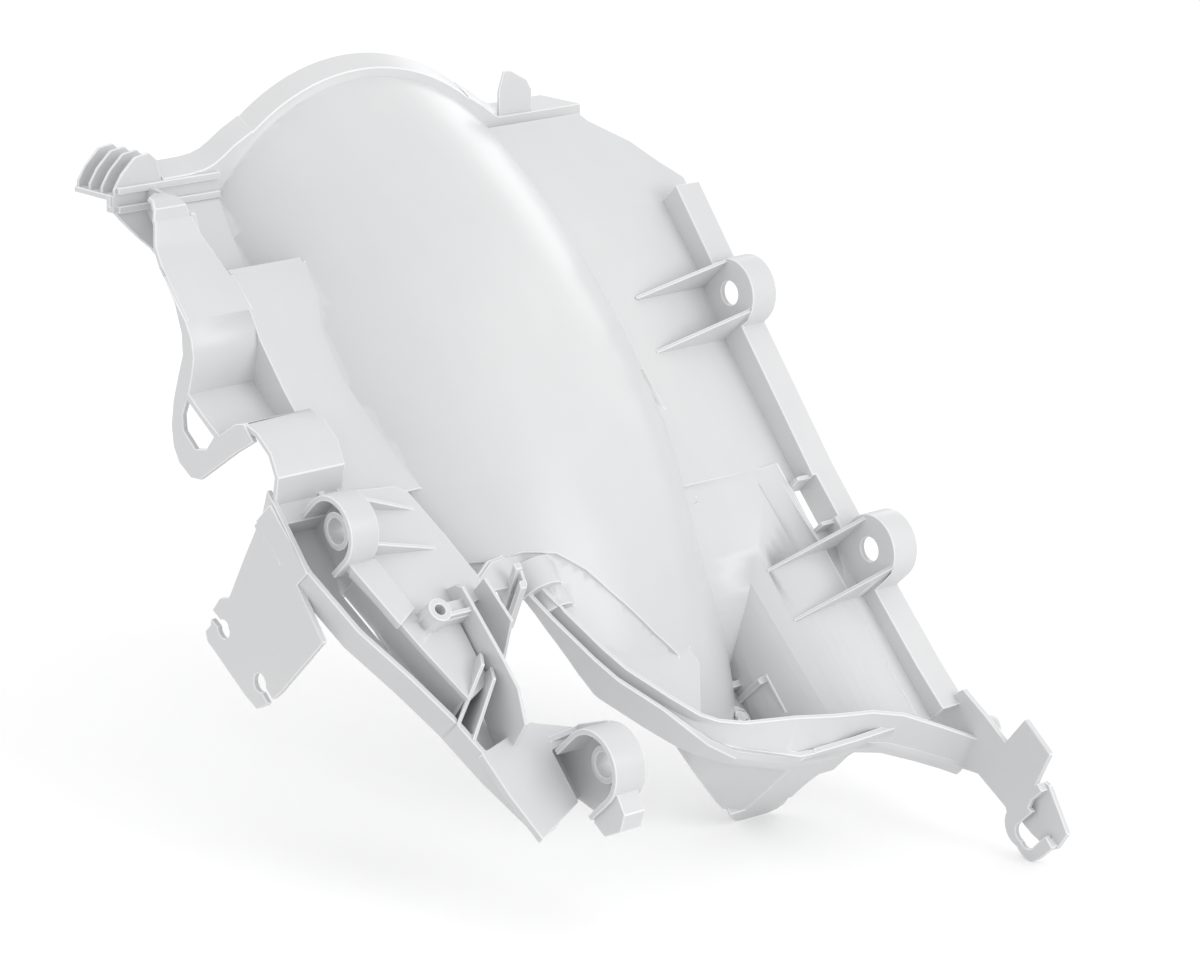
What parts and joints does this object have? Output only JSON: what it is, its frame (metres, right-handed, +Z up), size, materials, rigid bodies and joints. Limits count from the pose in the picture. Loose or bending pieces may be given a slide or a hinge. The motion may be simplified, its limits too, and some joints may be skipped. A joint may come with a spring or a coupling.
{
  "type": "airbox lower half",
  "caption": "Lower half of an air filter box moulded in one piece, with a wheel-arch hump, a deep basin, screw ears, hooks and clips.",
  "frame": {"origin": "centre of the rear left ear's screw hole", "axes": "+X forward, +Y left along the ear's screw hole, +Z up, as the part sits in the vehicle and in the picture"},
  "size_m": [0.3207, 0.2882, 0.3241],
  "materials": {
    "moulding": "satin pale grey moulded plastic"
  },
  "bodies": {
    "root": {"moulding": "moulding"}
  },
  "joints": []
}
